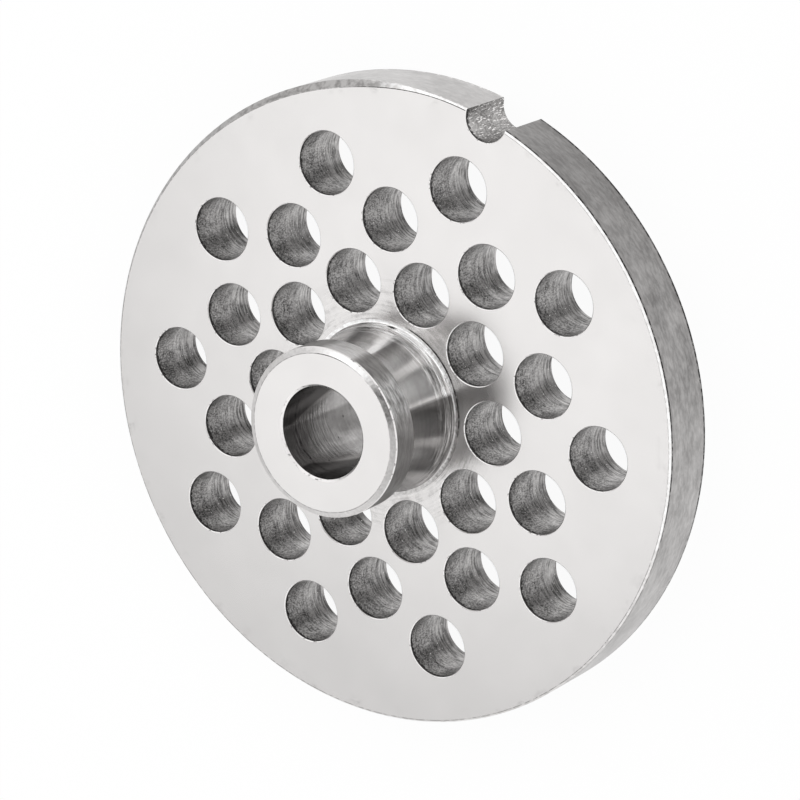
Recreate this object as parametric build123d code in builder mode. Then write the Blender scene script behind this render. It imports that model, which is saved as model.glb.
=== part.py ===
from build123d import *
from math import cos, isclose, radians, sin, sqrt
import os

# Meat grinder plate: a round perforated plate and its hub, turned from one blank of steel.
# The plate lies on its rear face at z = 0, its axis is the Z axis, and the hub points up.
# Lengths are in millimetres, angles in degrees.

# Plate
plate_diameter = 98.4
plate_thickness = 10.6
rim_chamfer = 0.5

# Feed holes: three rings with as many holes each, every ring half a pitch round from the last.
# The rings are set out from the hub by the webs of steel that are left between holes.
feed_hole_diameter = 9.7
holes_per_ring = 10
hole_row_angle = 90
hub_web = 1.0
inner_web = 2.35
outer_web = 3.57

# Keyway: a half-round slot through the rim, a trace off the nearest row of holes
keyway_diameter = 6.9
keyway_from_row = -0.6

# Hub, measured up from the front face of the plate
hub_diameter = 25.8
hub_height = 16.0
collar_length = 4.9
collar_chamfer_width = 0.85
collar_chamfer_depth = 0.4

# Neck behind the collar, which flares into the plate
neck_diameter = 23.2
foot_diameter = 25.9
foot_fillet = 0.5

# Low shoulder left standing round the foot where the front face was ground
shoulder_width = 0.6
shoulder_height = 0.2

# Centre bore
bore_diameter = 14.1
bore_chamfer = 0.3

plate_radius = plate_diameter / 2
hub_radius = hub_diameter / 2
neck_radius = neck_diameter / 2
foot_radius = foot_diameter / 2
shoulder_radius = foot_radius + shoulder_width
bore_radius = bore_diameter / 2
feed_hole_radius = feed_hole_diameter / 2

shoulder_top = plate_thickness + shoulder_height
hub_top = plate_thickness + hub_height
collar_bottom = hub_top - collar_length
half_pitch_angle = 360 / holes_per_ring / 2


def next_ring_radius(ring_radius, web):
    # Holes half a pitch apart on the two rings leave this web between their edges
    hole_spacing = feed_hole_diameter + web
    sideways = ring_radius * sin(radians(half_pitch_angle))
    return ring_radius * cos(radians(half_pitch_angle)) + sqrt(hole_spacing**2 - sideways**2)


def circles_of_radius(edges, radius):
    return edges.filter_by(GeomType.CIRCLE).filter_by(lambda edge: isclose(edge.radius, radius))


inner_ring_radius = shoulder_radius + hub_web + feed_hole_radius
middle_ring_radius = next_ring_radius(inner_ring_radius, inner_web)
outer_ring_radius = next_ring_radius(middle_ring_radius, outer_web)

with BuildPart() as grinder_plate:
    # The blank, turned from one section
    with BuildSketch(Plane.XZ) as blank_section:
        with BuildLine():
            Polyline(
                (foot_radius, shoulder_top),
                (shoulder_radius, shoulder_top),
                (shoulder_radius, plate_thickness),
                (plate_radius, plate_thickness),
                (plate_radius, 0),
                (0, 0),
                (0, hub_top),
                (hub_radius - collar_chamfer_width, hub_top),
                (hub_radius, hub_top - collar_chamfer_depth),
                (hub_radius, collar_bottom),
                (neck_radius, collar_bottom),
            )
            TangentArc((neck_radius, collar_bottom), (foot_radius, shoulder_top), tangent=(0, -1))
        make_face()
        foot_corner = vertices().sort_by_distance((foot_radius, shoulder_top))[0]
        fillet(foot_corner, radius=foot_fillet)
    revolve(axis=Axis.Z)

    # Both edges of the rim are broken
    chamfer(circles_of_radius(edges(), plate_radius), length=rim_chamfer)

    # Centre bore through hub and plate, with both mouths broken
    with Locations((0, 0, hub_top)):
        Hole(radius=bore_radius)
    chamfer(circles_of_radius(edges(), bore_radius), length=bore_chamfer)

    # Feed holes, drilled square through the plate
    feed_rings = [
        (inner_ring_radius, hole_row_angle),
        (middle_ring_radius, hole_row_angle + half_pitch_angle),
        (outer_ring_radius, hole_row_angle),
    ]
    for ring_radius, first_angle in feed_rings:
        with Locations((0, 0, shoulder_top)):
            with PolarLocations(ring_radius, holes_per_ring, start_angle=first_angle):
                Hole(radius=feed_hole_radius)

    # Keyway, milled down the rim
    with BuildSketch(Plane.XY):
        with PolarLocations(plate_radius, 1, start_angle=hole_row_angle + keyway_from_row):
            Circle(keyway_diameter / 2)
    extrude(amount=plate_thickness, mode=Mode.SUBTRACT)

grinder_plate.part.label = "grinder_plate"

os.makedirs("parts", exist_ok=True)
export_step(grinder_plate.part, "parts/grinder_plate.step")
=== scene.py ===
from math import asin, cos, pi, radians, sin, sqrt, tau

import bmesh
import bpy
from mathutils import Matrix, Vector


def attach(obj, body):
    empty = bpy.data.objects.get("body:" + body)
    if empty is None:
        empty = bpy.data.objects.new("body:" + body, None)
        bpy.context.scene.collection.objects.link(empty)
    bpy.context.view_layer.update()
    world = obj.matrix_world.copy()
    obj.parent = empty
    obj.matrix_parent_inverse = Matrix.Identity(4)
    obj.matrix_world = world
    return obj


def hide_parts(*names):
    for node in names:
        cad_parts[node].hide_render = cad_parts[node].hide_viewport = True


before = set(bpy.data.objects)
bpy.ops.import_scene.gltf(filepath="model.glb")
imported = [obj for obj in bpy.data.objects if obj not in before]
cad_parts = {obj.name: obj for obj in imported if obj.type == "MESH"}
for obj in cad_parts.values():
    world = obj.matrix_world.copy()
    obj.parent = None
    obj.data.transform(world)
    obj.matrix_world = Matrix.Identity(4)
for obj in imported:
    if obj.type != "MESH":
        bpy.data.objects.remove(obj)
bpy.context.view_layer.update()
mm = 0.001
fullTurn = 360  # degrees
seamHeading = -131  # degrees, the side turned away from the camera, where headings start and end
plateThickness = 10.6  # mm, up from the rear face at height 0
hubHeight = 16.0  # mm, above the front face


# Camera

camera = {
    "location": Vector((218.152, 251.211, 451.904)) * mm,
    "right": Vector((0.78211, 0.29536, -0.54870)),
    "up": Vector((-0.48451, 0.84196, -0.23740)),
    "view": Vector((-0.39186, -0.45152, -0.80160)),
    "lens": 166.826,  # mm on a 36 mm sensor, a long lens from just over half a metre
    "sensor": 36.0,
    "clipStart": 0.01,
}


def makeCamera(setup):
    lens = bpy.data.cameras.new("camera")
    lens.lens = setup["lens"]
    lens.sensor_width = setup["sensor"]
    lens.clip_start = setup["clipStart"]
    eye = bpy.data.objects.new("camera", lens)
    turn = Matrix((setup["right"], setup["up"], -setup["view"])).transposed()
    eye.matrix_world = Matrix.Translation(setup["location"]) @ turn.to_4x4()
    bpy.context.scene.collection.objects.link(eye)
    bpy.context.scene.camera = eye


makeCamera(camera)
print("camera set")


# Nodes and colours

mixShare, mixA, mixB, mixColourA, mixColourB = 0, 2, 3, 6, 7  # the inputs of a Mix node
mixedColour = 2  # its colour output


def linearColour(hexText):  # sRGB hex to a linear colour, by the standard's curve
    channels = [int(hexText[i:i + 2], 16) / 255 for i in (1, 3, 5)]
    return [c / 12.92 if c <= 0.04045 else ((c + 0.055) / 1.055) ** 2.4 for c in channels] + [1]


def addNode(tree, kind, inputs=None, stops=None, **settings):
    # An input is a value, a socket, or a node whose first output is meant; stops are a ramp's
    node = tree.nodes.new(kind)
    for name, value in settings.items():
        setattr(node, name, value)
    for key, value in (inputs or {}).items():
        source = value.outputs[0] if isinstance(value, bpy.types.Node) else value
        if isinstance(source, bpy.types.NodeSocket):
            tree.links.new(source, node.inputs[key])
        else:
            node.inputs[key].default_value = source
    if stops:
        elements = node.color_ramp.elements
        for place, hexText in stops[1:-1]:
            elements.new(place).color = linearColour(hexText)
        for end in (0, -1):
            elements[end].position = stops[end][0]
            elements[end].color = linearColour(stops[end][1])
    return node


def newMaterial(name):
    material = bpy.data.materials.new(name)
    material.use_nodes = True
    tree = material.node_tree
    tree.nodes.clear()
    return material, tree, addNode(tree, "ShaderNodeTexCoord").outputs["Object"]


def finishSteel(tree, finish, colour, height):
    relief = addNode(tree, "ShaderNodeBump", {"Height": height, "Distance": finish["reliefMm"] * mm})
    shader = addNode(tree, "ShaderNodeBsdfPrincipled", {
        "Base Color": colour, "Metallic": 1.0, "Roughness": finish["roughness"], "Normal": relief,
    })
    if "glossSpread" in finish:  # turning lines run round the axis, so they spread the gloss along it
        axis = addNode(
            tree, "ShaderNodeVectorTransform", {0: (0, 0, 1)},
            vector_type="VECTOR", convert_from="OBJECT", convert_to="WORLD")
        shader.inputs["Anisotropic"].default_value = finish["glossSpread"]
        tree.links.new(axis.outputs[0], shader.inputs["Tangent"])
    addNode(tree, "ShaderNodeOutputMaterial", {"Surface": shader})


evenGrain = {  # holds for what a pattern doesn't say itself
    "detail": 3.0,
    "roughness": 0.6,
    "low": 0.35,
    "high": 0.65,
    "turn": 0.0,
}


def grain(tree, place, pattern):
    # Noise with marks of this size in x, y and z, turned by degrees; its low and high become 0 and 1
    marks = {**evenGrain, **pattern}
    turn = radians(marks["turn"])
    stretched = addNode(tree, "ShaderNodeMapping", {
        "Vector": place,
        "Rotation": (turn, turn, 0),
        "Scale": [1 / (length * mm) for length in marks["sizeMm"]],
    })
    noise = addNode(tree, "ShaderNodeTexNoise", {
        "Vector": stretched, "Scale": 1.0, "Detail": marks["detail"], "Roughness": marks["roughness"],
    })
    return addNode(tree, "ShaderNodeMapRange", {
        "Value": noise, "From Min": marks["low"], "From Max": marks["high"],
    })


def facing(tree, place):  # share of a full turn round the axis, counted from the seam's heading
    middle = radians(seamHeading + fullTurn / 2)
    along = addNode(tree, "ShaderNodeVectorMath", {
        0: place, 1: (cos(middle), sin(middle), 0),
    }, operation="DOT_PRODUCT").outputs["Value"]
    across = addNode(tree, "ShaderNodeVectorMath", {
        0: place, 1: (-sin(middle), cos(middle), 0),
    }, operation="DOT_PRODUCT").outputs["Value"]
    angle = addNode(tree, "ShaderNodeMath", {0: across, 1: along}, operation="ARCTAN2")
    return addNode(tree, "ShaderNodeMapRange", {"Value": angle, "From Min": -pi, "From Max": pi})


def paintedLightByHeading(tree, turned, tone, stops):  # painted light and shade by heading: a stop is a heading, its darkest and its palest grey there
    ramps = []
    for shade in (1, 2):
        places = [((stop[0] - seamHeading) / fullTurn, stop[shade]) for stop in stops]
        ramps.append(addNode(tree, "ShaderNodeValToRGB", {"Fac": turned}, stops=places))
    return addNode(tree, "ShaderNodeMix", {
        mixShare: tone, mixColourA: ramps[0], mixColourB: ramps[1],
    }, data_type="RGBA").outputs[mixedColour]


# Most marks of the real tools are about 0.05 to 0.15 mm apart, less than a pixel of the render,
# so each pattern below is drawn as much coarser as it needs to show


# Stainless steel, surface ground: pale and satin, with fine swirls where the wheel turned round the hub

ground = {
    "tones": [(0.0, "#e2e0df"), (0.4, "#d8d6d5"), (1.0, "#a5a3a2")],
    "swirls": {"sizeMm": (7.0, 7.0, 0.5), "detail": 4.0, "low": 0.40, "high": 0.66},
    "smudges": {"sizeMm": (1.4, 1.4, 1.4), "detail": 4.0, "low": 0.40, "high": 0.66},
    "smudgeShare": 0.45,
    "swirlFromMm": 13.3,  # the end of the hub, inside this radius, has none
    "swirlFadesMm": (14.5, 23.5),
    "swirlStrength": 0.75,
    "rimMarks": {"sizeMm": (3.5, 3.5, 3.5), "detail": 2.0, "low": 0.55, "high": 0.65},
    "rimMarksFromMm": (46.6, 48.6),
    "rimMarksStrength": 0.7,
    "haze": {"sizeMm": (11.0, 11.0, 11.0), "detail": 2.0, "low": 0.3, "high": 0.9},
    "hazeShare": 0.3,
    "reliefMm": 0.01,
    "roughness": 0.24,
}


def makeGroundSteel(finish):
    material, tree, position = newMaterial("stainlessSteelGround")
    flat = addNode(tree, "ShaderNodeVectorMath", {0: position, 1: (1, 1, 0)}, operation="MULTIPLY")
    distance = addNode(tree, "ShaderNodeVectorMath", {0: flat}, operation="LENGTH").outputs["Value"]
    heading = addNode(tree, "ShaderNodeVectorMath", {0: flat}, operation="NORMALIZE")
    fadeStart, fadeEnd = [radius * mm for radius in finish["swirlFadesMm"]]
    around = addNode(tree, "ShaderNodeVectorMath", {
        0: heading, 1: (fadeStart,) * 3,
    }, operation="MULTIPLY")
    outward = addNode(tree, "ShaderNodeCombineXYZ", {"Z": distance})
    swirlPlace = addNode(tree, "ShaderNodeVectorMath", {0: around, 1: outward}, operation="ADD")
    swirls = grain(tree, swirlPlace, finish["swirls"])
    smudges = grain(tree, position, finish["smudges"])
    marks = addNode(tree, "ShaderNodeMix", {
        mixShare: finish["smudgeShare"], mixA: swirls, mixB: smudges,
    })
    fade = addNode(tree, "ShaderNodeMapRange", {
        "Value": distance, "From Min": fadeStart, "From Max": fadeEnd,
        "To Min": finish["swirlStrength"], "To Max": 0.0,
    }, interpolation_type="SMOOTHSTEP")
    outside = addNode(tree, "ShaderNodeMath", {
        0: distance, 1: finish["swirlFromMm"] * mm,
    }, operation="GREATER_THAN")
    reach = addNode(tree, "ShaderNodeMath", {0: fade, 1: outside}, operation="MULTIPLY")
    nearRim = addNode(tree, "ShaderNodeMapRange", {
        "Value": distance,
        "From Min": finish["rimMarksFromMm"][0] * mm, "From Max": finish["rimMarksFromMm"][1] * mm,
        "To Min": 0.0, "To Max": finish["rimMarksStrength"],
    })
    rimMarks = grain(tree, position, finish["rimMarks"])
    nearRim = addNode(tree, "ShaderNodeMath", {0: nearRim, 1: rimMarks}, operation="MULTIPLY")
    reach = addNode(tree, "ShaderNodeMath", {0: reach, 1: nearRim}, operation="MAXIMUM")
    swirl = addNode(tree, "ShaderNodeMath", {0: marks, 1: reach}, operation="MULTIPLY")
    haze = grain(tree, position, finish["haze"])
    tone = addNode(tree, "ShaderNodeMath", {
        0: haze, 1: finish["hazeShare"], 2: swirl,
    }, operation="MULTIPLY_ADD")
    colour = addNode(tree, "ShaderNodeValToRGB", {"Fac": tone}, stops=finish["tones"])
    finishSteel(tree, finish, colour, swirl)
    return material


# Stainless steel, turned to size and handled: cloudy grey with slanting scratches, painted shade
# darkening one side and painted light brightening the other

rim = {
    # painted shade from 35 to 87 degrees, painted light from 91 to 160
    "tones": [
        (-131, "#8e8c8b", "#b5b3b2"),
        (-25, "#a3a1a0", "#c1bfbe"),
        (5, "#959392", "#c9c7c6"),
        (35, "#7b7978", "#bbb9b8"),
        (75, "#6b6968", "#9b9998"),
        (87, "#777574", "#a7a5a4"),
        (91, "#adabaa", "#cfcdcc"),
        (125, "#b9b7b6", "#dddbda"),
        (160, "#b5b3b2", "#d5d3d2"),
        (229, "#8e8c8b", "#b5b3b2"),
    ],
    "clouds": {"sizeMm": (5.0, 5.0, 5.0), "detail": 5.0},
    "scratches": {"sizeMm": (1.3, 1.3, 0.6), "low": 0.40, "high": 0.62, "turn": 35.0},
    "lines": {"sizeMm": (7.0, 7.0, 1.6)},
    "lineShare": 0.3,  # of lines over scratches
    "scoredShare": 0.5,  # of both over clouds
    "reliefMm": 0.015,
    "roughness": 0.34,
}


def makeRimSteel(finish):
    material, tree, position = newMaterial("stainlessSteelTurnedRim")
    clouds = grain(tree, position, finish["clouds"])
    scratches = grain(tree, position, finish["scratches"])
    lines = grain(tree, position, finish["lines"])
    scored = addNode(tree, "ShaderNodeMix", {
        mixShare: finish["lineShare"], mixA: scratches, mixB: lines,
    })
    tone = addNode(tree, "ShaderNodeMix", {
        mixShare: finish["scoredShare"], mixA: clouds, mixB: scored,
    })
    # the cloudy, scratched tone is spread between painted shade and painted light by heading
    colour = paintedLightByHeading(tree, facing(tree, position), tone, finish["tones"])
    finishSteel(tree, finish, colour, scratches)
    return material


# Stainless steel, edge broken by hand with a stone: a painted highlight from 9 to 106 degrees, and
# painted shade beyond, dull where the bevel is wide

handBevel = {
    "tones": [
        (-131, "#8e8c8b", "#abaaa9"),
        (-100, "#a6a4a3", "#c9c7c6"),
        (-60, "#c3c1c0", "#dddbda"),
        (-25, "#bdbbba", "#d5d3d2"),
        (0, "#cbc9c8", "#e9e7e6"),
        (9, "#e7e5e4", "#ffffff"),
        (88, "#edebea", "#ffffff"),
        (106, "#e5e3e2", "#ffffff"),
        (113, "#8e8c8b", "#b5b3b2"),
        (130, "#858382", "#a9a7a6"),
        (155, "#898786", "#abaaa9"),
        (229, "#8e8c8b", "#abaaa9"),
    ],
    "nicks": {"sizeMm": (1.0, 1.0, 1.0), "detail": 4.0, "low": 0.36, "high": 0.56},
    "reliefMm": 0.02,
    "roughness": 0.30,
}

shoulderRing = {  # steel left standing where the wheel stopped: a ring with a painted highlight from 50 to 140 degrees, with dull nicks
    "tones": [
        (-131, "#b5b3b2", "#dddbda"),
        (-20, "#a3a1a0", "#d5d3d2"),
        (20, "#959392", "#d5d3d2"),
        (50, "#bfbdbc", "#ffffff"),
        (85, "#e3e1e0", "#ffffff"),
        (140, "#e3e1e0", "#ffffff"),
        (229, "#b5b3b2", "#dddbda"),
    ],
    "nicks": {"sizeMm": (0.6, 0.6, 0.6), "detail": 4.0, "low": 0.36, "high": 0.56},
    "reliefMm": 0.02,
    "roughness": 0.32,
}

# Stainless steel, burr left along an edge: a thin line of painted shade on some headings and a painted
# highlight on others, broken by bright nicks

innerBurr = {
    # painted shade from 94 to 112 degrees, painted highlight from 12 to 84
    "tones": [
        (-131, "#a5a3a2", "#d5d3d2"),
        (-60, "#999796", "#d5d3d2"),
        (0, "#9f9d9c", "#e3e1e0"),
        (12, "#c5c3c2", "#f1efee"),
        (84, "#c5c3c2", "#f1efee"),
        (94, "#2b2928", "#8d8b8a"),
        (112, "#2b2928", "#8d8b8a"),
        (120, "#a3a1a0", "#d5d3d2"),
        (150, "#999796", "#cfcdcc"),
        (229, "#a5a3a2", "#d5d3d2"),
    ],
    "nicks": {"sizeMm": (0.7, 0.7, 0.7), "low": 0.48, "high": 0.64},
    "reliefMm": 0.03,
    "roughness": 0.40,
}

outerBurr = {
    # painted shade from 15 to 88 degrees, painted highlight from 93 to 112
    "tones": [
        (-131, "#8d8b8a", "#cfcdcc"),
        (-60, "#858382", "#c5c3c2"),
        (0, "#7d7b7a", "#c5c3c2"),
        (15, "#2b2928", "#999796"),
        (60, "#232120", "#8d8b8a"),
        (88, "#232120", "#858382"),
        (93, "#c5c3c2", "#f5f3f2"),
        (112, "#c5c3c2", "#f5f3f2"),
        (125, "#858382", "#c5c3c2"),
        (229, "#8d8b8a", "#cfcdcc"),
    ],
    "nicks": {"sizeMm": (0.8, 0.8, 0.8), "low": 0.48, "high": 0.64},
    "reliefMm": 0.03,
    "roughness": 0.40,
}


def makeEdgeSteel(name, finish):  # for the bevel, the shoulder and the burrs
    material, tree, position = newMaterial(name)
    nicks = grain(tree, position, finish["nicks"])
    # nicks spread between painted shade and painted highlight by heading
    colour = paintedLightByHeading(tree, facing(tree, position), nicks, finish["tones"])
    finishSteel(tree, finish, colour, nicks)
    return material


# Stainless steel, turned and part polished: fine lines round the neck, wider grooves at its foot, and
# painted reflections by heading: white wedges and a dark block

neckTurning = {
    # painted reflections: a dark block from 24 to 38.5 degrees, white wedges from 40.5 to 72 and from
    # 91 to 96
    "tones": [
        (-131, "#bfbdbc", "#d9d7d6"),
        (-40, "#b5b3b2", "#cfcdcc"),
        (-22, "#a9a7a6", "#c3c1c0"),
        (-16, "#8d8b8a", "#a9a7a6"),
        (-2, "#918f8e", "#adabaa"),
        (2, "#a3a1a0", "#c1bfbe"),
        (12, "#a5a3a2", "#c5c3c2"),
        (19, "#999796", "#b5b3b2"),
        (24, "#7f7d7c", "#979594"),
        (30, "#777574", "#8b8988"),
        (38.5, "#757372", "#898786"),
        (40.5, "#efedec", "#ffffff"),
        (55, "#f1efee", "#ffffff"),
        (72, "#e9e7e6", "#ffffff"),
        (82, "#d1cfce", "#f5f3f2"),
        (89.5, "#a5a3a2", "#c9c7c6"),
        (91, "#ffffff", "#ffffff"),
        (96, "#ffffff", "#ffffff"),
        (98, "#dddbda", "#ffffff"),
        (106, "#cfcdcc", "#f1efee"),
        (118, "#858382", "#a9a7a6"),
        (135, "#c5c3c2", "#e5e3e2"),
        (229, "#bfbdbc", "#d9d7d6"),
    ],
    # painted reflections at the foot: dark from 34 to 38 degrees, white from 40 to 112
    "footTones": [
        (-131, "#a9a7a6", "#dbd9d8"),
        (-10, "#8b8988", "#cfcdcc"),
        (20, "#7f7d7c", "#bfbdbc"),
        (34, "#5b5958", "#7b7978"),
        (38, "#5b5958", "#7b7978"),
        (40, "#d9d7d6", "#ffffff"),
        (112, "#cdcbca", "#ffffff"),
        (125, "#6b6968", "#cfcdcc"),
        (229, "#a9a7a6", "#dbd9d8"),
    ],
    "lines": {"sizeMm": (5.0, 5.0, 0.45), "detail": 4.0, "low": 0.38, "high": 0.62},
    "clouds": {"sizeMm": (2.0, 2.0, 6.0)},
    "cloudShare": 0.4,
    "footGrooves": {"sizeMm": (9.0, 9.0, 0.55), "detail": 2.0, "low": 0.44, "high": 0.60},
    "footHeightsMm": (14.6, 12.0),  # the grooves start at the first and are full at the second
    "darkFootLines": {"sizeMm": (4.0, 4.0, 0.25), "detail": 2.0, "low": 0.64, "high": 0.68},
    "darkFootLineColour": "#2b2928",
    "lineRelief": 0.12,  # depth of the lines next to that of the grooves
    "reliefMm": 0.10,
    "roughness": 0.26,
    "glossSpread": 0.6,
}

collarTurning = {  # turned and left: short lines that slant a little, dull except for painted highlights from 42 to 62 and from 90 to 106 degrees
    "tones": [
        (-131, "#999796", "#b3b1b0"),
        (-60, "#979594", "#b1afae"),
        (-20, "#838180", "#a1a09f"),
        (5, "#858382", "#a3a1a0"),
        (20, "#858382", "#a7a5a4"),
        (34, "#8d8b8a", "#c3c1c0"),
        (42, "#858382", "#ffffff"),
        (62, "#858382", "#ffffff"),
        (70, "#8d8b8a", "#bfbdbc"),
        (85, "#8f8d8c", "#c5c3c2"),
        (90, "#dddbda", "#ffffff"),
        (106, "#dddbda", "#ffffff"),
        (114, "#8b8988", "#b1afae"),
        (125, "#858382", "#a9a7a6"),
        (229, "#999796", "#b3b1b0"),
    ],
    "lines": {"sizeMm": (1.8, 1.8, 0.4), "detail": 4.0, "low": 0.38, "high": 0.62, "turn": 20.0},
    "clouds": {"sizeMm": (3.0, 3.0, 3.0)},
    "cloudShare": 0.4,
    "reliefMm": 0.02,
    "roughness": 0.40,
    "glossSpread": 0.3,
}


def makeHubSteel(name, finish):
    material, tree, position = newMaterial(name)
    turned = facing(tree, position)
    lines = grain(tree, position, finish["lines"])
    clouds = grain(tree, position, finish["clouds"])
    tone = addNode(tree, "ShaderNodeMix", {
        mixShare: finish["cloudShare"], mixA: lines, mixB: clouds,
    })
    # lines and clouds spread between the painted reflections by heading
    colour = paintedLightByHeading(tree, turned, tone, finish["tones"])
    relief = lines
    if "footGrooves" in finish:
        height = addNode(tree, "ShaderNodeSeparateXYZ", {0: position}).outputs["Z"]
        start, full = finish["footHeightsMm"]
        nearFoot = addNode(tree, "ShaderNodeMapRange", {
            "Value": height, "From Min": start * mm, "From Max": full * mm,
        })
        grooves = grain(tree, position, finish["footGrooves"])
        # the foot's grooves spread between its own painted reflections by heading
        groovedWithPaintedReflections = paintedLightByHeading(tree, turned, grooves, finish["footTones"])
        colour = addNode(tree, "ShaderNodeMix", {
            mixShare: nearFoot, mixColourA: colour, mixColourB: groovedWithPaintedReflections,
        }, data_type="RGBA").outputs[mixedColour]
        # thin dark lines round the foot, fading in above it
        darkFootLines = grain(tree, position, finish["darkFootLines"])
        darkLinedFoot = addNode(tree, "ShaderNodeMath", {0: darkFootLines, 1: nearFoot}, operation="MULTIPLY")
        colour = addNode(tree, "ShaderNodeMix", {
            mixShare: darkLinedFoot, mixColourA: colour, mixColourB: linearColour(finish["darkFootLineColour"]),
        }, data_type="RGBA").outputs[mixedColour]
        ridges = addNode(tree, "ShaderNodeMath", {0: grooves, 1: nearFoot}, operation="MULTIPLY")
        relief = addNode(tree, "ShaderNodeMath", {
            0: lines, 1: finish["lineRelief"], 2: ridges,
        }, operation="MULTIPLY_ADD")
    finishSteel(tree, finish, colour, relief)
    return material


# Stainless steel, edges broken with a file: dressed bright, with a few dull nicks

dressed = {
    "tones": [(0.0, "#999796"), (1.0, "#efedec")],
    "nicks": {"sizeMm": (0.6, 0.6, 0.6), "low": 0.34, "high": 0.42},
    "reliefMm": 0.03,
    "roughness": 0.32,
}


def makeDressedSteel(finish):
    material, tree, position = newMaterial("stainlessSteelDressedEdge")
    nicks = grain(tree, position, finish["nicks"])
    colour = addNode(tree, "ShaderNodeValToRGB", {"Fac": nicks}, stops=finish["tones"])
    finishSteel(tree, finish, colour, nicks)
    return material


# Stainless steel, chamfered by hand on the end of the hub: grey, with chatter across it, painted shade
# from 38 to 58 degrees and a painted highlight from 75 to 100

handChamfer = {
    "tones": [
        (-131, "#adabaa", "#c5c3c2"),
        (-60, "#b9b7b6", "#d5d3d2"),
        (0, "#c5c3c2", "#dfdddc"),
        (30, "#bfbdbc", "#e3e1e0"),
        (38, "#7f7d7c", "#c5c3c2"),
        (45, "#5b5958", "#a9a7a6"),
        (58, "#5f5d5c", "#adabaa"),
        (67, "#b5b3b2", "#f5f3f2"),
        (75, "#edebea", "#ffffff"),
        (100, "#ebe9e8", "#ffffff"),
        (115, "#c9c7c6", "#e3e1e0"),
        (150, "#b1afae", "#c9c7c6"),
        (229, "#adabaa", "#c5c3c2"),
    ],
    "chatter": {"sizeMm": (0.5, 0.5, 0.5)},
    "clouds": {"sizeMm": (3.0, 3.0, 3.0)},
    "cloudShare": 0.4,
    "reliefMm": 0.02,
    "roughness": 0.30,
}


def makeChamferSteel(finish):
    material, tree, position = newMaterial("stainlessSteelHandChamfer")
    chatter = grain(tree, position, finish["chatter"])
    clouds = grain(tree, position, finish["clouds"])
    tone = addNode(tree, "ShaderNodeMix", {
        mixShare: finish["cloudShare"], mixA: chatter, mixB: clouds,
    })
    # chatter and clouds spread between painted shade and painted highlight by heading
    colour = paintedLightByHeading(tree, facing(tree, position), tone, finish["tones"])
    finishSteel(tree, finish, colour, chatter)
    return material


# Stainless steel, drilled or milled and left: dark, scored round the wall, pitted, with bright chips,
# painted reflection and shade by the heading the wall faces, and a dark lip at the mouth that is part
# rolled burr and part painted shade

drilled = {  # headings are those that the wall faces
    # painted reflection: each wall darkest from 52 to 66 degrees
    "tones": [
        (-131, "#494746", "#bfbdbc"),
        (-41, "#4f4d4c", "#c1bfbe"),
        (-10, "#555352", "#d5d3d2"),
        (20, "#514f4e", "#d1cfce"),
        (42, "#414040", "#b5b3b2"),
        (52, "#2f2e2d", "#8f8d8c"),
        (66, "#2d2c2b", "#8b8988"),
        (78, "#3f3e3d", "#bdbbba"),
        (100, "#4d4b4a", "#dfdddc"),
        (125, "#454342", "#cfcdcc"),
        (139, "#3d3c3b", "#bbb9b8"),
        (229, "#494746", "#bfbdbc"),
    ],
    "scores": {"sizeMm": (3.2, 3.2, 0.38), "low": 0.45, "high": 0.55},
    "pits": {"sizeMm": (0.24, 0.24, 0.4), "detail": 1.0, "low": 0.42, "high": 0.56},
    "pitHeightsMm": (2.0, 8.0),
    "pitShares": (0.18, 0.82),  # of pits over scores, at those heights
    "patches": {"sizeMm": (2.2, 2.2, 2.2)},
    "patchShare": 0.4,
    "chips": {"sizeMm": (0.25, 0.25, 0.3), "detail": 1.0, "low": 0.72, "high": 0.76},
    "chipColour": "#f1efee",
    # a dark lip at the mouth: part the rolled burr, part painted shade
    "lipAndShadeColour": "#1d1b1a",
    "lipAndShadeMm": (0.45, 0.95),  # least and greatest depth of the dark lip
    "lipAndShadeWaver": {"sizeMm": (0.5, 0.5, 0.5), "detail": 2.0},
    "lipAndShadeFadeMm": 0.1,
    "lipAndShadeShare": 0.9,
    "reliefMm": 0.03,
    "roughness": 0.38,
}

milled = dict(drilled)
milled.update({
    # painted shade by heading: darker at 0 and at 110 degrees, paler at 55
    "tones": [
        (-131, "#6f6d6c", "#b9b7b6"),
        (0, "#5f5d5c", "#a3a1a0"),
        (25, "#6f6d6c", "#b5b3b2"),
        (55, "#7f7d7c", "#cfcdcc"),
        (85, "#6b6968", "#b1afae"),
        (110, "#4f4d4c", "#959392"),
        (229, "#6f6d6c", "#b9b7b6"),
    ],
    "pitShares": (0.8, 0.8),
    "chips": {"sizeMm": (0.25, 0.25, 0.9), "detail": 1.0, "low": 0.61, "high": 0.65},
})


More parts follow.
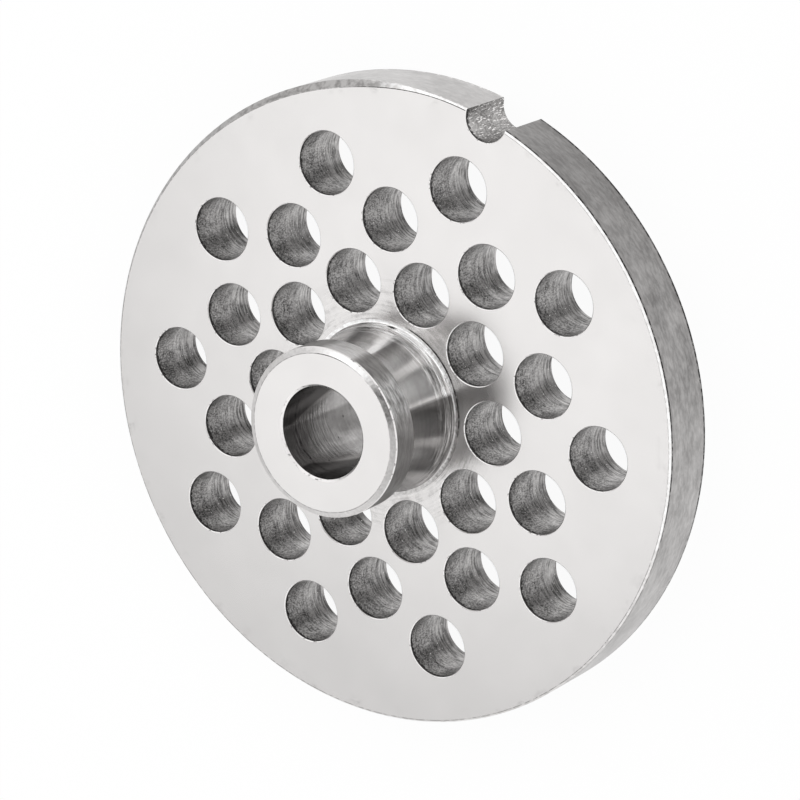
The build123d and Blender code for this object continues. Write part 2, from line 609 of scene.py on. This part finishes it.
def makeDrilledSteel(name, finish):
    material, tree, position = newMaterial(name)
    wallFacing = facing(tree, addNode(tree, "ShaderNodeTexCoord").outputs["Normal"])
    height = addNode(tree, "ShaderNodeSeparateXYZ", {0: position}).outputs["Z"]
    scores = grain(tree, position, finish["scores"])
    pits = grain(tree, position, finish["pits"])
    patches = grain(tree, position, finish["patches"])
    pitted = addNode(tree, "ShaderNodeMapRange", {
        "Value": height,
        "From Min": finish["pitHeightsMm"][0] * mm, "From Max": finish["pitHeightsMm"][1] * mm,
        "To Min": finish["pitShares"][0], "To Max": finish["pitShares"][1],
    })
    marks = addNode(tree, "ShaderNodeMix", {mixShare: pitted, mixA: scores, mixB: pits})
    tone = addNode(tree, "ShaderNodeMix", {
        mixShare: finish["patchShare"], mixA: marks, mixB: patches,
    })
    # scores, pits and patches spread between painted reflection and shade by heading
    colour = paintedLightByHeading(tree, wallFacing, tone, finish["tones"])
    chips = grain(tree, position, finish["chips"])
    colour = addNode(tree, "ShaderNodeMix", {
        mixShare: chips, mixColourA: colour, mixColourB: linearColour(finish["chipColour"]),
    }, data_type="RGBA").outputs[mixedColour]
    # darkens the wall near the mouth, with a ragged lower edge: the rolled burr and painted shade
    ragged = grain(tree, position, finish["lipAndShadeWaver"])
    least, most = finish["lipAndShadeMm"]
    lipAndShadeStart = addNode(tree, "ShaderNodeMapRange", {
        "Value": ragged,
        "To Min": (plateThickness - most) * mm, "To Max": (plateThickness - least) * mm,
    })
    inLipAndShade = addNode(tree, "ShaderNodeMath", {0: height, 1: lipAndShadeStart}, operation="SUBTRACT")
    lipAndShaded = addNode(tree, "ShaderNodeMapRange", {
        "Value": inLipAndShade, "From Max": finish["lipAndShadeFadeMm"] * mm, "To Max": finish["lipAndShadeShare"],
    })
    colour = addNode(tree, "ShaderNodeMix", {
        mixShare: lipAndShaded, mixColourA: colour, mixColourB: linearColour(finish["lipAndShadeColour"]),
    }, data_type="RGBA").outputs[mixedColour]
    finishSteel(tree, finish, colour, marks)
    return material


# Stainless steel, bored: smoother than the holes, banded, with a painted band of reflected light down
# the wall and painted shade on either side, one tool line and a few pores

bored = {  # headings are those that the wall faces
    # painted light and shade by heading
    "tones": [
        (-131, "#858382", "#a3a1a0"),
        (-41, "#a3a1a0", "#c1bfbe"),
        (25, "#a3a1a0", "#c5c3c2"),
        (29, "#7b7978", "#9b9998"),
        (46, "#777574", "#979594"),
        (58, "#737170", "#a3a1a0"),
        (63, "#7f7d7c", "#b1afae"),
        (70, "#979594", "#c5c3c2"),
        (90, "#9f9d9c", "#cfcdcc"),
        (139, "#979594", "#bfbdbc"),
        (229, "#858382", "#a3a1a0"),
    ],
    "rings": {"sizeMm": (4.0, 4.0, 0.5), "detail": 4.0, "low": 0.38, "high": 0.62},
    "clouds": {"sizeMm": (2.5, 2.5, 5.0)},
    "cloudShare": 0.75,
    "bandHeading": 51.0,
    "bandWidths": (26.0, 59.0),  # degrees either side of the heading, at these depths
    "bandDepthsMm": (2.6, 15.0),
    "bandEdge": (0.96, 1.08),  # shares of the width between which the band ends
    "paintedShadeColour": "#4b4948",  # painted shade beyond the band
    "paintedShadeShare": 0.85,
    "markColour": "#2b2928",
    "toolLineMm": 3.5,  # depth of the tool's stopping line below the end of the hub
    "toolLineSwingMm": 0.2,
    "toolLineWaver": {"sizeMm": (1.5, 1.5, 1.5)},
    "toolLineFadesMm": (0.08, 0.25),
    "toolLineBreaks": {"sizeMm": (1.1, 1.1, 1.1), "detail": 2.0, "low": 0.45, "high": 0.55},
    "poreSpacingMm": 2.6,
    "poreFades": (0.05, 0.09),  # shares of that spacing
    "reliefMm": 0.008,
    "roughness": 0.20,
    "glossSpread": 0.5,
}


def makeBoredSteel(finish):
    material, tree, position = newMaterial("stainlessSteelBored")
    wallFacing = facing(tree, addNode(tree, "ShaderNodeTexCoord").outputs["Normal"])
    height = addNode(tree, "ShaderNodeSeparateXYZ", {0: position}).outputs["Z"]
    depth = addNode(tree, "ShaderNodeMath", {
        0: (plateThickness + hubHeight) * mm, 1: height,
    }, operation="SUBTRACT")
    rings = grain(tree, position, finish["rings"])
    clouds = grain(tree, position, finish["clouds"])
    tone = addNode(tree, "ShaderNodeMix", {
        mixShare: finish["cloudShare"], mixA: rings, mixB: clouds,
    })
    # rings and clouds spread between painted light and shade by heading
    colour = paintedLightByHeading(tree, wallFacing, tone, finish["tones"])
    # the painted band of reflected light widens with depth, with painted shade beyond it
    bandWidth = addNode(tree, "ShaderNodeMapRange", {
        "Value": depth,
        "From Min": finish["bandDepthsMm"][0] * mm, "From Max": finish["bandDepthsMm"][1] * mm,
        "To Min": finish["bandWidths"][0] / fullTurn, "To Max": finish["bandWidths"][1] / fullTurn,
    })
    bandMiddle = (finish["bandHeading"] - seamHeading) / fullTurn
    offset = addNode(tree, "ShaderNodeMath", {0: wallFacing, 1: bandMiddle}, operation="SUBTRACT")
    offset = addNode(tree, "ShaderNodeMath", {0: offset}, operation="ABSOLUTE")
    ratio = addNode(tree, "ShaderNodeMath", {0: offset, 1: bandWidth}, operation="DIVIDE")
    inPaintedShade = addNode(tree, "ShaderNodeMapRange", {
        "Value": ratio, "From Min": finish["bandEdge"][0], "From Max": finish["bandEdge"][1],
        "To Max": finish["paintedShadeShare"],
    })
    colour = addNode(tree, "ShaderNodeMix", {
        mixShare: inPaintedShade, mixColourA: colour, mixColourB: linearColour(finish["paintedShadeColour"]),
    }, data_type="RGBA").outputs[mixedColour]
    waver = grain(tree, position, finish["toolLineWaver"])
    lineMm = finish["toolLineMm"]
    swingMm = finish["toolLineSwingMm"]
    lineDepth = addNode(tree, "ShaderNodeMapRange", {
        "Value": waver, "To Min": (lineMm - swingMm) * mm, "To Max": (lineMm + swingMm) * mm,
    })
    away = addNode(tree, "ShaderNodeMath", {0: depth, 1: lineDepth}, operation="SUBTRACT")
    away = addNode(tree, "ShaderNodeMath", {0: away}, operation="ABSOLUTE")
    near = addNode(tree, "ShaderNodeMapRange", {
        "Value": away,
        "From Min": finish["toolLineFadesMm"][0] * mm, "From Max": finish["toolLineFadesMm"][1] * mm,
        "To Min": 1.0, "To Max": 0.0,
    })
    broken = grain(tree, position, finish["toolLineBreaks"])
    toolLine = addNode(tree, "ShaderNodeMath", {0: near, 1: broken}, operation="MULTIPLY")
    pores = addNode(tree, "ShaderNodeTexVoronoi", {
        "Vector": position, "Scale": 1 / (finish["poreSpacingMm"] * mm),
    })
    pore = addNode(tree, "ShaderNodeMapRange", {
        "Value": pores, "From Min": finish["poreFades"][0], "From Max": finish["poreFades"][1],
        "To Min": 1.0, "To Max": 0.0,
    })
    marks = addNode(tree, "ShaderNodeMath", {0: toolLine, 1: pore}, operation="MAXIMUM")
    colour = addNode(tree, "ShaderNodeMix", {
        mixShare: marks, mixColourA: colour, mixColourB: linearColour(finish["markColour"]),
    }, data_type="RGBA").outputs[mixedColour]
    finishSteel(tree, finish, colour, rings)
    return material


steels = {
    "groundFace": makeGroundSteel(ground),
    "turnedRim": makeRimSteel(rim),
    "rimBevel": makeEdgeSteel("stainlessSteelStonedBevel", handBevel),
    "shoulderRing": makeEdgeSteel("stainlessSteelShoulder", shoulderRing),
    "innerBurr": makeEdgeSteel("stainlessSteelInnerBurr", innerBurr),
    "outerBurr": makeEdgeSteel("stainlessSteelOuterBurr", outerBurr),
    "turnedNeck": makeHubSteel("stainlessSteelTurnedNeck", neckTurning),
    "turnedCollar": makeHubSteel("stainlessSteelTurnedCollar", collarTurning),
    "handChamfer": makeChamferSteel(handChamfer),
    "boredHub": makeBoredSteel(bored),
    "dressedEdge": makeDressedSteel(dressed),
    "drilledHole": makeDrilledSteel("stainlessSteelDrilled", drilled),
    "milledKeyway": makeDrilledSteel("stainlessSteelMilled", milled),
}
steelOrder = list(steels)
print("steels mixed:", len(steels))


# The blank: plate and hub turned from one bar

blank = {  # millimetres and degrees
    "plateRadius": 49.2,
    "plateThickness": plateThickness,
    "rimChamfer": 0.5,  # at the rear; the front edge was broken by hand, wider on one side
    "bevelLeast": 0.24,
    "bevelMost": 0.95,
    "bevelHeading": 122.0,
    "bevelSpreads": (26.0, 70.0),  # degrees, on either side of the heading
    "burrInside": 0.12,  # width of the burr's line on the face
    "burrBelow": 0.42,  # and on the rim
    "shoulderWidth": 0.6,
    "shoulderHeight": 0.2,
    "footRadius": 12.95,
    "footFillet": 0.5,
    "neckRadius": 11.6,
    "hubRadius": 12.9,
    "hubHeight": hubHeight,
    "collarLength": 4.9,
    "collarChamferWidth": 0.85,
    "collarChamferDepth": 0.4,
    "collarCorner": (0.12, 0.18),  # how far the chamfer's lower corner is eased, in and down
    "boreRadius": 7.05,
    "boreChamfer": 0.3,
    "filletSteps": 8,
    "neckSteps": 64,
    "footGrooves": [  # height, half width and depth
        (11.8, 0.35, 0.08),
        (12.6, 0.3, 0.06),
        (13.6, 0.25, 0.03),
    ],
    "turnSteps": 360,
}


def blankSection(size):
    # Radius, height, finish of the strip that follows, and how the bevel moves the point in and down
    hubTop = size["plateThickness"] + size["hubHeight"]
    collarBottom = hubTop - size["collarLength"]
    shoulderRadius = size["footRadius"] + size["shoulderWidth"]
    shoulderTop = size["plateThickness"] + size["shoulderHeight"]
    rim = size["plateRadius"]
    front = size["plateThickness"]
    bevel = size["bevelLeast"]
    section = [
        (size["boreRadius"] + size["boreChamfer"], 0, "groundFace", (0, 0)),
        (rim - size["rimChamfer"], 0, "dressedEdge", (0, 0)),
        (rim, size["rimChamfer"], "outerBurr", (0, 0)),
        (rim, size["rimChamfer"] + size["burrBelow"], "turnedRim", (0, 0)),
        (rim, front - bevel - size["burrBelow"], "outerBurr", (0, 1)),
        (rim, front - bevel, "rimBevel", (0, 1)),
        (rim - bevel, front, "innerBurr", (1, 0)),
        (rim - bevel - size["burrInside"], front, "groundFace", (1, 0)),
        (shoulderRadius, front, "outerBurr", (0, 0)),
        (shoulderRadius, shoulderTop, "shoulderRing", (0, 0)),
    ]
    flare = size["footRadius"] - size["neckRadius"]
    drop = collarBottom - shoulderTop
    arcRadius = (flare ** 2 + drop ** 2) / (2 * flare)
    arcCentre = size["neckRadius"] + arcRadius
    fillet = size["footFillet"]
    filletHeight = shoulderTop + fillet
    reach = arcRadius - fillet
    filletCentre = arcCentre - sqrt(reach ** 2 - (collarBottom - filletHeight) ** 2)
    tilt = asin((collarBottom - filletHeight) / reach)  # how far down the arc the fillet meets it
    for step in range(size["filletSteps"] + 1):
        angle = -pi / 2 - (pi / 2 - tilt) * step / size["filletSteps"]
        radius = filletCentre + fillet * cos(angle)
        finish = "shoulderRing" if step < size["filletSteps"] / 2 else "turnedNeck"
        section.append((radius, filletHeight + fillet * sin(angle), finish, (0, 0)))
    for step in range(1, size["neckSteps"] + 1):
        angle = tilt * (1 - step / size["neckSteps"])
        height = collarBottom - arcRadius * sin(angle)
        radius = arcCentre - arcRadius * cos(angle) - grooveDepth(size, height)
        section.append((radius, height, "turnedNeck", (0, 0)))
    chamferInside = size["hubRadius"] - size["collarChamferWidth"]
    chamferBottom = hubTop - size["collarChamferDepth"]
    cornerIn, cornerDown = size["collarCorner"]
    slope = size["collarChamferDepth"] / size["collarChamferWidth"]
    section += [
        (size["hubRadius"], collarBottom, "turnedCollar", (0, 0)),
        (size["hubRadius"], chamferBottom - cornerDown, "dressedEdge", (0, 0)),
        (size["hubRadius"] - cornerIn, chamferBottom + cornerIn * slope, "handChamfer", (0, 0)),
        (chamferInside, hubTop, "innerBurr", (0, 0)),
        (chamferInside - size["burrInside"], hubTop, "groundFace", (0, 0)),
        (size["boreRadius"] + size["boreChamfer"], hubTop, "dressedEdge", (0, 0)),
        (size["boreRadius"], hubTop - size["boreChamfer"], "boredHub", (0, 0)),
        (size["boreRadius"], size["boreChamfer"], "dressedEdge", (0, 0)),
    ]
    return section


def easedHump(share):  # 1 in the middle, 0 from a share of 1 on
    return 0.5 + 0.5 * cos(pi * min(share, 1))


def grooveDepth(size, height):
    depth = 0
    for middle, halfWidth, deepest in size["footGrooves"]:
        depth += deepest * easedHump(abs(height - middle) / halfWidth)
    return depth


def bevelWidening(size, angle):  # how much wider the front bevel is here than at its narrowest
    away = (angle - radians(size["bevelHeading"]) + pi) % tau - pi
    spread = size["bevelSpreads"][away > 0]
    return (size["bevelMost"] - size["bevelLeast"]) * easedHump(abs(away) / radians(spread))


def turnBlank(name, size):
    section = blankSection(size)
    steps = size["turnSteps"]
    mesh = bpy.data.meshes.new(name)
    build = bmesh.new()
    rings = []
    for radius, height, _, (inward, downward) in section:
        ring = []
        for step in range(steps):
            angle = tau * step / steps
            wider = bevelWidening(size, angle)
            out = (radius - inward * wider) * mm
            up = (height - downward * wider) * mm
            ring.append(build.verts.new((out * cos(angle), out * sin(angle), up)))
        rings.append(ring)
    for index, (_, _, finish, _) in enumerate(section):
        ring = rings[index]
        following = rings[(index + 1) % len(rings)]
        for step in range(steps):
            after = (step + 1) % steps
            face = build.faces.new((ring[step], ring[after], following[after], following[step]))
            face.material_index = steelOrder.index(finish)
            face.smooth = True
    bmesh.ops.recalc_face_normals(build, faces=build.faces)
    build.to_mesh(mesh)
    build.free()
    for finish in steelOrder:
        mesh.materials.append(steels[finish])
    turned = bpy.data.objects.new(name, mesh)
    bpy.context.scene.collection.objects.link(turned)
    return turned


turnedBlank = turnBlank("turnedBlank", blank)
print("blank turned:", len(turnedBlank.data.polygons), "faces")


# Feed holes and keyway, cut by one tree

cuts = {  # millimetres and degrees
    "holeDiameter": 9.7,
    "holesPerRing": 10,
    "innerRingRadius": 19.4,
    "middleRingRadius": 28.903,
    "outerRingRadius": 37.303,
    "rowAngle": 90.0,
    "edgeBreak": 0.12,
    "keywayDiameter": 6.9,
    "keywayAngle": 89.4,
    "cutterFacets": 96,
    "overrun": 0.3,
    "weld": 0.001,  # points nearer than this after the cut become one
    "flatNormal": 0.5,  # a cut face whose normal rises more than this is a broken edge, not a wall
    "sharpFrom": 20.0,
}


def cuttingTree(size, stock):
    tree = bpy.data.node_groups.new("plateCuts", "GeometryNodeTree")
    panel = tree.interface
    panel.new_socket("Blank", in_out="INPUT", socket_type="NodeSocketGeometry")
    lengths = {
        "Plate thickness": stock["plateThickness"],
        "Plate radius": stock["plateRadius"],
        "Hole radius": size["holeDiameter"] / 2,
        "Keyway radius": size["keywayDiameter"] / 2,
        "Inner ring radius": size["innerRingRadius"],
        "Middle ring radius": size["middleRingRadius"],
        "Outer ring radius": size["outerRingRadius"],
        "Edge break": size["edgeBreak"],
        "Overrun": size["overrun"],
        "Weld": size["weld"],
    }
    angles = {
        "Row angle": size["rowAngle"],
        "Middle row angle": size["rowAngle"] + fullTurn / size["holesPerRing"] / 2,
        "Keyway angle": size["keywayAngle"],
    }
    counts = {"Holes per ring": size["holesPerRing"], "Cutter facets": size["cutterFacets"]}
    values = {}
    for name, value in lengths.items():
        panel.new_socket(name, in_out="INPUT", socket_type="NodeSocketFloat")
        values[name] = value * mm
    for name, value in angles.items():
        panel.new_socket(name, in_out="INPUT", socket_type="NodeSocketFloat")
        values[name] = radians(value)
    for name, value in counts.items():
        panel.new_socket(name, in_out="INPUT", socket_type="NodeSocketInt")
        values[name] = value
    finishes = {
        "Drilled steel": "drilledHole",
        "Milled steel": "milledKeyway",
        "Broken edge": "dressedEdge",
    }
    for name, finish in finishes.items():
        panel.new_socket(name, in_out="INPUT", socket_type="NodeSocketMaterial")
        values[name] = steels[finish]
    panel.new_socket("Plate", in_out="OUTPUT", socket_type="NodeSocketGeometry")

    given = addNode(tree, "NodeGroupInput").outputs

    def atEachPoint(options):  # the value for each point of the cutter's profile
        place = addNode(tree, "GeometryNodeInputIndex")
        node = tree.nodes.new("GeometryNodeIndexSwitch")
        node.data_type = "FLOAT"
        while len(node.index_switch_items) < len(options):
            node.index_switch_items.new()
        tree.links.new(place.outputs[0], node.inputs[0])
        for number, option in enumerate(options):
            tree.links.new(option, node.inputs[number + 1])
        return node

    breakSize = given["Edge break"]
    overrun = given["Overrun"]
    thickness = given["Plate thickness"]
    below = addNode(tree, "ShaderNodeMath", {0: overrun, 1: -1.0}, operation="MULTIPLY").outputs[0]
    above = addNode(tree, "ShaderNodeMath", {0: thickness, 1: overrun}, operation="ADD").outputs[0]
    upper = addNode(tree, "ShaderNodeMath", {
        0: thickness, 1: breakSize,
    }, operation="SUBTRACT").outputs[0]
    profile = [below, breakSize, upper, above]
    heights = atEachPoint(profile)
    flare = addNode(tree, "ShaderNodeMath", {0: breakSize, 1: overrun}, operation="ADD")

    def cutter(radius, steel):  # a straight cutter that flares 45 degrees where it leaves the plate
        wide = addNode(tree, "ShaderNodeMath", {0: radius, 1: flare}, operation="ADD").outputs[0]
        points = addNode(tree, "GeometryNodeMeshLine", {"Count": len(profile)})
        place = addNode(tree, "ShaderNodeCombineXYZ", {"Z": heights})
        spread = addNode(tree, "GeometryNodeSetPosition", {"Geometry": points, "Position": place})
        axis = addNode(tree, "GeometryNodeMeshToCurve", {"Mesh": spread})
        circle = addNode(tree, "GeometryNodeCurvePrimitiveCircle", {
            "Resolution": given["Cutter facets"], "Radius": 1.0,
        })
        solid = addNode(tree, "GeometryNodeCurveToMesh", {
            "Curve": axis, "Profile Curve": circle,
            "Scale": atEachPoint([wide, radius, radius, wide]), "Fill Caps": True,
        })
        smooth = addNode(tree, "GeometryNodeSetShadeSmooth", {"Geometry": solid})
        return addNode(tree, "GeometryNodeSetMaterial", {"Geometry": smooth, "Material": steel})

    drill = cutter(given["Hole radius"], given["Drilled steel"])
    mill = cutter(given["Keyway radius"], given["Milled steel"])

    def ring(radius, angle):  # one ring of drills
        places = addNode(tree, "GeometryNodeMeshCircle", {
            "Vertices": given["Holes per ring"], "Radius": radius,
        })
        turn = addNode(tree, "ShaderNodeCombineXYZ", {"Z": angle})
        turned = addNode(tree, "GeometryNodeTransform", {"Geometry": places, "Rotation": turn})
        return addNode(tree, "GeometryNodeInstanceOnPoints", {"Points": turned, "Instance": drill})

    rings = [
        ring(given["Inner ring radius"], given["Row angle"]),
        ring(given["Middle ring radius"], given["Middle row angle"]),
        ring(given["Outer ring radius"], given["Row angle"]),
    ]
    keywayParts = []
    for operation in ("COSINE", "SINE"):
        part = addNode(tree, "ShaderNodeMath", {0: given["Keyway angle"]}, operation=operation)
        keywayParts.append(addNode(tree, "ShaderNodeMath", {
            0: part, 1: given["Plate radius"],
        }, operation="MULTIPLY"))
    keywayPlace = addNode(tree, "ShaderNodeCombineXYZ", {"X": keywayParts[0], "Y": keywayParts[1]})
    keyway = addNode(tree, "GeometryNodeTransform", {"Geometry": mill, "Translation": keywayPlace})
    together = tree.nodes.new("GeometryNodeJoinGeometry")
    for part in rings + [keyway]:
        tree.links.new(part.outputs[0], together.inputs[0])
    solidCutters = addNode(tree, "GeometryNodeRealizeInstances", {"Geometry": together})
    cut = addNode(tree, "GeometryNodeMeshBoolean", {
        "Mesh 1": given["Blank"],
    }, operation="DIFFERENCE", solver="EXACT")
    tree.links.new(solidCutters.outputs[0], cut.inputs["Mesh 2"])
    welded = addNode(tree, "GeometryNodeMergeByDistance", {"Geometry": cut, "Distance": given["Weld"]})
    whole = addNode(tree, "GeometryNodeRealizeInstances", {"Geometry": welded})
    normal = addNode(tree, "GeometryNodeInputNormal")
    upright = addNode(tree, "ShaderNodeSeparateXYZ", {0: normal}).outputs["Z"]
    steepness = addNode(tree, "ShaderNodeMath", {0: upright}, operation="ABSOLUTE")
    slanted = addNode(tree, "ShaderNodeMath", {
        0: steepness, 1: size["flatNormal"],
    }, operation="GREATER_THAN")
    byDrill = addNode(tree, "GeometryNodeMaterialSelection", {"Material": given["Drilled steel"]})
    byMill = addNode(tree, "GeometryNodeMaterialSelection", {"Material": given["Milled steel"]})
    byCutter = addNode(tree, "FunctionNodeBooleanMath", {0: byDrill, 1: byMill}, operation="OR")
    broken = addNode(tree, "FunctionNodeBooleanMath", {0: byCutter, 1: slanted}, operation="AND")
    finished = addNode(tree, "GeometryNodeSetMaterial", {
        "Geometry": whole, "Selection": broken, "Material": given["Broken edge"],
    })
    addNode(tree, "NodeGroupOutput", {"Plate": finished})
    return tree, values


def cutPlate(stock, name):
    tree, values = cuttingTree(cuts, blank)
    cutting = stock.modifiers.new("plateCuts", "NODES")
    cutting.node_group = tree
    for item in tree.interface.items_tree:
        if item.in_out == "INPUT" and item.name in values:
            cutting[item.identifier] = values[item.name]
    depsgraph = bpy.context.evaluated_depsgraph_get()
    mesh = bpy.data.meshes.new_from_object(stock.evaluated_get(depsgraph), depsgraph=depsgraph)
    mesh.name = name
    stock.modifiers.clear()
    bpy.data.objects.remove(stock)
    mesh.set_sharp_from_angle(angle=radians(cuts["sharpFrom"]))
    cut = bpy.data.objects.new(name, mesh)
    bpy.context.scene.collection.objects.link(cut)
    return cut


grinderPlate = cutPlate(turnedBlank, "grinderPlate")
print("holes and keyway cut:", len(grinderPlate.data.polygons), "faces")

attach(grinderPlate, "root")
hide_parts("grinder_plate")


# Studio: pale floor, even room light and two soft boxes

studio = {
    "floorSize": 6.0,  # metres
    "floorDrop": 0.02 * mm,  # keeps the floor just clear of the rear face
    "floorShown": 0.94,  # share of the floor that the camera and the steel see as plain white
    "roomStrength": 0.74,
    "wallStrength": 1.15,  # the walls are brighter low down
    "wallTop": (0.55, 0.70),  # sines of the heights between which the wall's light ends
}

faceBox = {  # shows in the ground face
    "name": "faceBox",
    "aim": Vector((0, 0, plateThickness)) * mm,
    "heading": Vector((-0.35, -0.288, 0.891)),
    "distance": 0.36,  # metres, as is the size
    "size": 0.218,
    "power": 0.052,  # watts
}

sideBox = {  # shows in the hub's chamfer and, by way of the face, in its neck
    "name": "sideBox",
    "aim": Vector((0, 0, plateThickness)) * mm,
    "heading": Vector((-0.428, 0.359, 0.829)),
    "distance": 0.40,
    "size": 0.20,
    "power": 0.079,
}


def makeFloor(setup):
    mesh = bpy.data.meshes.new("studioFloor")
    half = setup["floorSize"] / 2
    corners = [(-half, -half), (half, -half), (half, half), (-half, half)]
    mesh.from_pydata([(x, y, -setup["floorDrop"]) for x, y in corners], [], [(0, 1, 2, 3)])
    material = bpy.data.materials.new("paleStudioFloor")
    material.use_nodes = True
    tree = material.node_tree
    tree.nodes.clear()
    white = linearColour("#ffffff")
    paint = addNode(tree, "ShaderNodeBsdfDiffuse", {"Color": white})
    glow = addNode(tree, "ShaderNodeEmission", {"Color": white, "Strength": 1.0})
    rays = addNode(tree, "ShaderNodeLightPath").outputs
    seen = addNode(tree, "ShaderNodeMath", {
        0: rays["Is Camera Ray"], 1: rays["Is Glossy Ray"],
    }, operation="MAXIMUM")
    seen = addNode(tree, "ShaderNodeMath", {
        0: seen, 1: rays["Is Transmission Ray"],
    }, operation="MAXIMUM")
    share = addNode(tree, "ShaderNodeMath", {0: seen, 1: setup["floorShown"]}, operation="MULTIPLY")
    mix = addNode(tree, "ShaderNodeMixShader", {0: share, 1: paint, 2: glow})
    addNode(tree, "ShaderNodeOutputMaterial", {"Surface": mix})
    mesh.materials.append(material)
    floor = bpy.data.objects.new("studioFloor", mesh)
    bpy.context.scene.collection.objects.link(floor)


def makeRoomLight(setup):  # white walls all round, which the camera sees as plain white
    world = bpy.data.worlds.new("studioRoom")
    world.use_nodes = True
    tree = world.node_tree
    tree.nodes.clear()
    direction = addNode(tree, "ShaderNodeTexCoord").outputs["Generated"]
    height = addNode(tree, "ShaderNodeSeparateXYZ", {0: direction}).outputs["Z"]
    wall = addNode(tree, "ShaderNodeMapRange", {
        "Value": height, "From Min": setup["wallTop"][0], "From Max": setup["wallTop"][1],
        "To Min": setup["wallStrength"], "To Max": setup["roomStrength"],
    }, interpolation_type="SMOOTHSTEP")
    rays = addNode(tree, "ShaderNodeLightPath").outputs
    plainWhite = 1.0
    strength = addNode(tree, "ShaderNodeMix", {
        mixShare: rays["Is Camera Ray"], mixA: wall, mixB: plainWhite,
    })
    light = addNode(tree, "ShaderNodeBackground", {
        "Color": linearColour("#ffffff"), "Strength": strength,
    })
    addNode(tree, "ShaderNodeOutputWorld", {"Surface": light})
    bpy.context.scene.world = world


def makeSoftBox(setup):
    box = bpy.data.lights.new(setup["name"], "AREA")
    box.shape = "DISK"
    box.size = setup["size"]
    box.energy = setup["power"]
    holder = bpy.data.objects.new(setup["name"], box)
    heading = setup["heading"].normalized()
    holder.location = setup["aim"] + heading * setup["distance"]
    holder.rotation_euler = heading.to_track_quat("Z", "Y").to_euler()
    bpy.context.scene.collection.objects.link(holder)


makeFloor(studio)
makeRoomLight(studio)
makeSoftBox(faceBox)
makeSoftBox(sideBox)
bpy.context.scene.view_settings.view_transform = "Standard"
print("studio lit")
